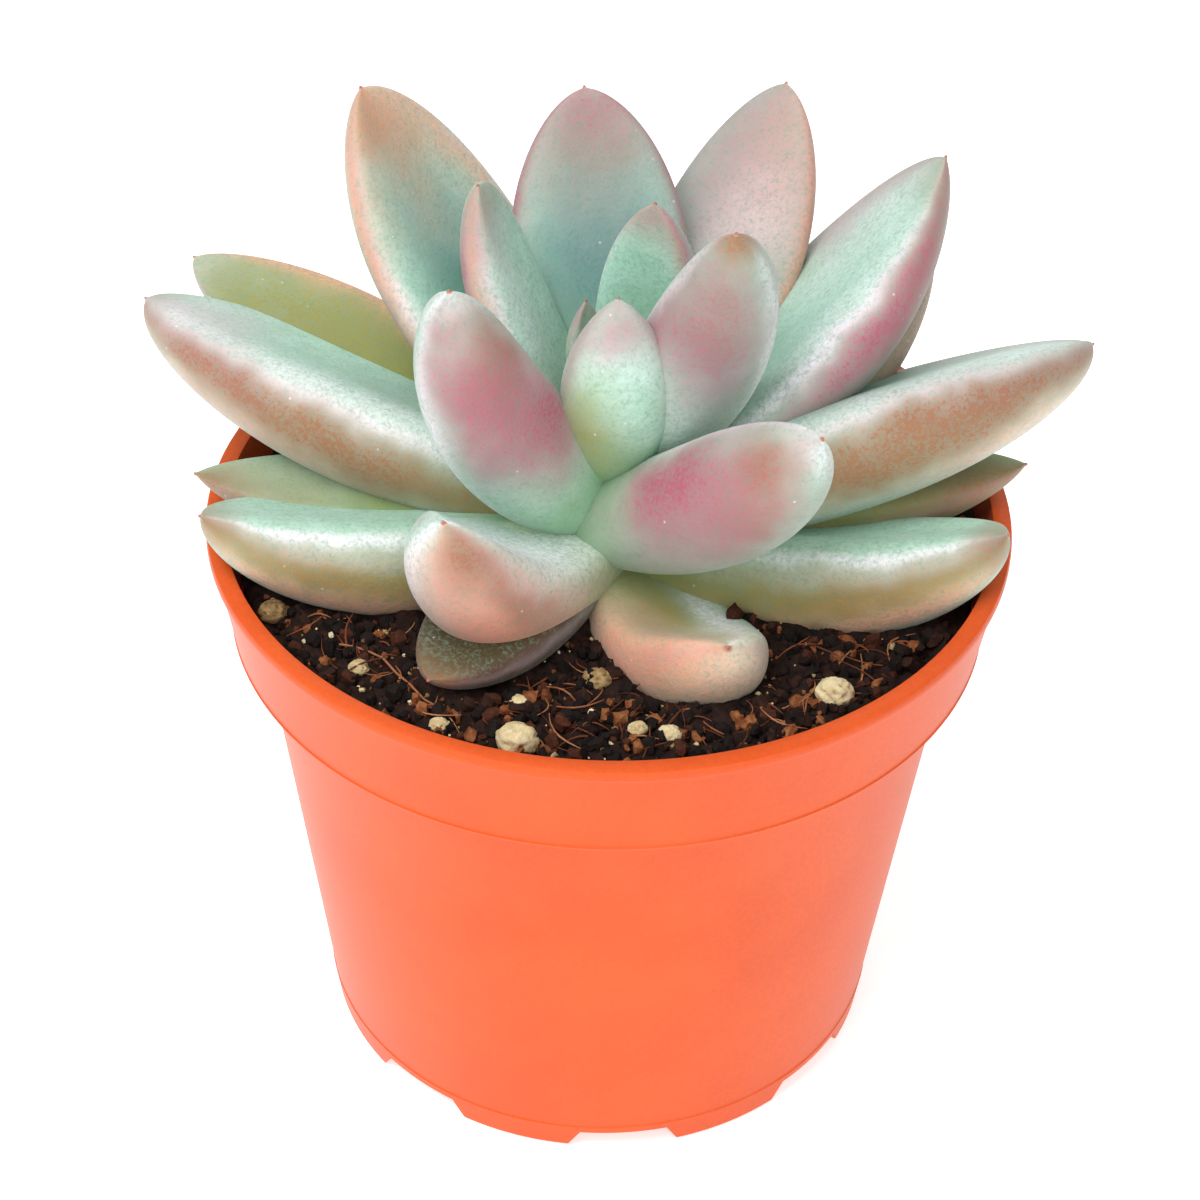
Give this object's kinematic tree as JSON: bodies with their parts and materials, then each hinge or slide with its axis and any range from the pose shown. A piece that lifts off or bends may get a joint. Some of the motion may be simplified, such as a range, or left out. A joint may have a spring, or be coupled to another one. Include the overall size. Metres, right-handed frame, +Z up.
{
  "type": "potted succulent",
  "caption": "Rosette succulent with thick pointed leaves in dark potting mix, in a round tapered plastic nursery pot with a wide band, drain holes and a notched foot.",
  "frame": {"origin": "centre of the pot's foot, on the surface that it stands on", "axes": "+Z up; -Y to the front of the plant, which leans that way; +X to its right"},
  "size_m": [0.123, 0.105, 0.131],
  "materials": {
    "pot_plastic": "coral-orange moulded polypropylene, satin",
    "potting_mix": "near-black peat and coir crumbs, damp and matte",
    "stem_skin": "pale green-brown skin, matte",
    "leaf_skin": "mint green skin with a powdery wax bloom, blushed pink and tan at edges and tips",
    "pumice": "cream pumice, rough and pitted"
  },
  "bodies": {
    "root": {"pot": "pot_plastic", "potting_mix": "potting_mix", "stem": "stem_skin", "leaf_01": "leaf_skin", "leaf_02": "leaf_skin", "leaf_03": "leaf_skin", "leaf_04": "leaf_skin", "leaf_05": "leaf_skin", "leaf_06": "leaf_skin", "leaf_07": "leaf_skin", "leaf_08": "leaf_skin", "leaf_09": "leaf_skin", "leaf_10": "leaf_skin", "leaf_11": "leaf_skin", "leaf_12": "leaf_skin", "leaf_13": "leaf_skin", "leaf_14": "leaf_skin", "leaf_15": "leaf_skin", "leaf_16": "leaf_skin", "leaf_17": "leaf_skin", "leaf_18": "leaf_skin", "leaf_19": "leaf_skin", "leaf_20": "leaf_skin", "leaf_21": "leaf_skin", "leaf_22": "leaf_skin", "leaf_23": "leaf_skin", "leaf_24": "leaf_skin", "leaf_25": "leaf_skin", "leaf_26": "leaf_skin", "leaf_27": "leaf_skin", "pumice_1": "pumice", "pumice_2": "pumice", "pumice_3": "pumice", "pumice_4": "pumice", "pumice_5": "pumice", "pumice_6": "pumice", "pumice_7": "pumice", "pumice_8": "pumice", "pumice_9": "pumice", "pumice_10": "pumice", "pumice_11": "pumice"}
  },
  "joints": []
}
